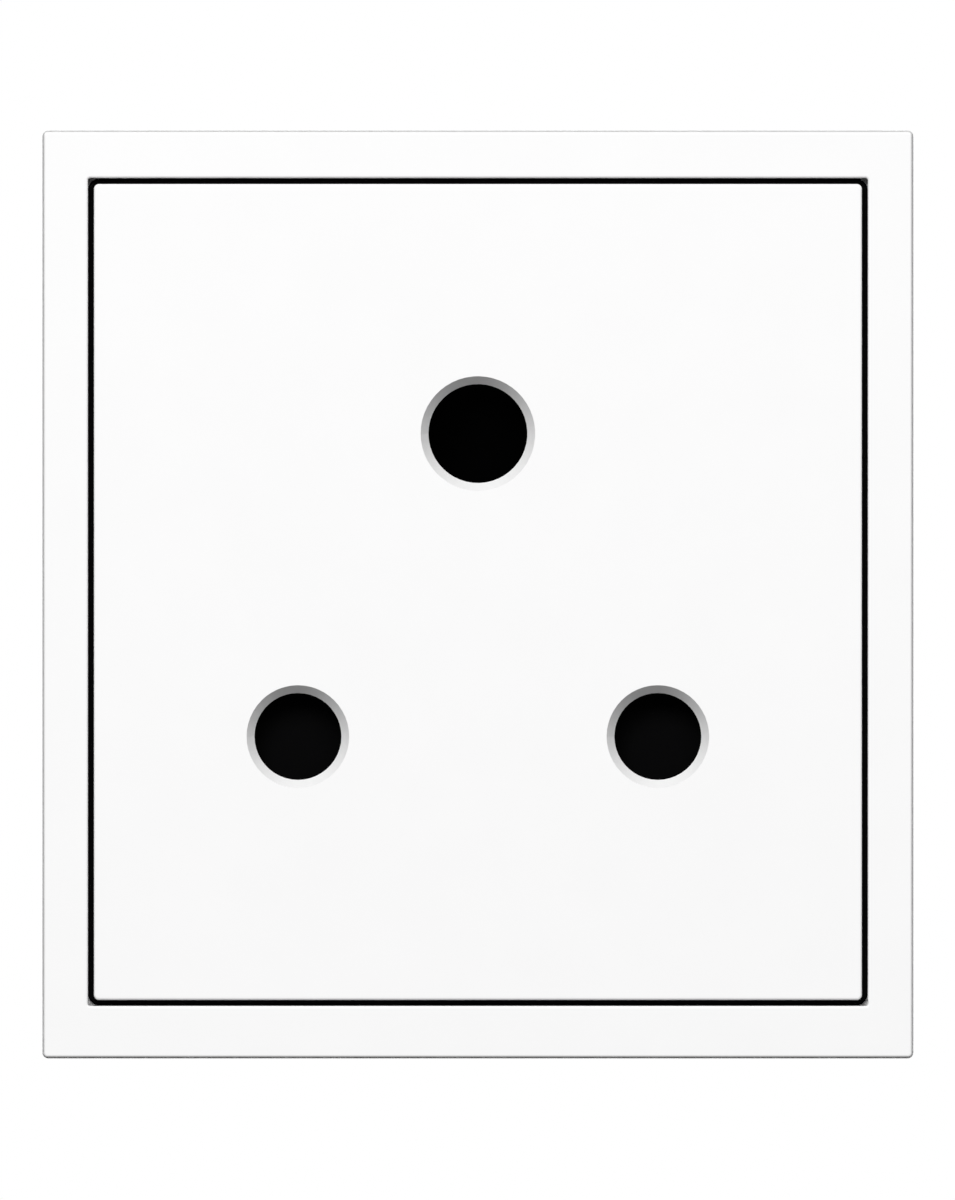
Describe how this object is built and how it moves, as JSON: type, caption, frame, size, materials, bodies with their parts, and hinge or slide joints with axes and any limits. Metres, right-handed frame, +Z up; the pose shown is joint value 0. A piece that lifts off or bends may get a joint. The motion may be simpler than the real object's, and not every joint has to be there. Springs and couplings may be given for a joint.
{
  "type": "round-pin wall socket outlet",
  "caption": "Flush white wall socket outlet: flat frame, centre plate with chamfered round pin holes in a triangle, sprung shutter and screw terminals behind.",
  "frame": {"origin": "centre of the front plate's outline and of the two wall-fixing slots, in the plane of the wall", "axes": "+X to the right and +Z up as seen from the room, +Y into the wall; the socket's face looks along -Y"},
  "size_m": [0.0874, 0.0363, 0.093],
  "materials": {
    "white_plastic": "smooth satin white moulding",
    "black_plastic": "matte black moulding",
    "housing_plastic": "fine-grained dark thermoset moulding",
    "zinc_plated_steel": "bright zinc plating",
    "brass": "machined",
    "spring_steel": "drawn wire and strip"
  },
  "bodies": {
    "socket": {"body_screws": "zinc_plated_steel", "centre_plate": "white_plastic", "clip_frame": "black_plastic", "contact_housing": "housing_plastic", "cover_frame": "white_plastic", "earth_contact": "brass", "earth_spring_ring": "spring_steel", "earth_strap": "brass", "earth_terminal_screw": "zinc_plated_steel", "line_contact": "brass", "line_spring_ring": "spring_steel", "line_terminal_screw": "zinc_plated_steel", "neutral_contact": "brass", "neutral_spring_ring": "spring_steel", "neutral_terminal_screw": "zinc_plated_steel", "pin_guide": "black_plastic", "rear_cover": "housing_plastic", "shutter_spring": "spring_steel", "strap_rivets": "zinc_plated_steel", "support_plate": "zinc_plated_steel"},
    "shutter": {"shutter": "black_plastic"}
  },
  "joints": [
    {"name": "shutter_slide", "type": "slide", "parent": "socket", "child": "shutter", "axis": [0, 0, 1], "range_m": [0, 0.0093], "stiffness_N_per_m": 100, "springref_m": -0.008, "deforming": ["shutter_spring"]}
  ]
}
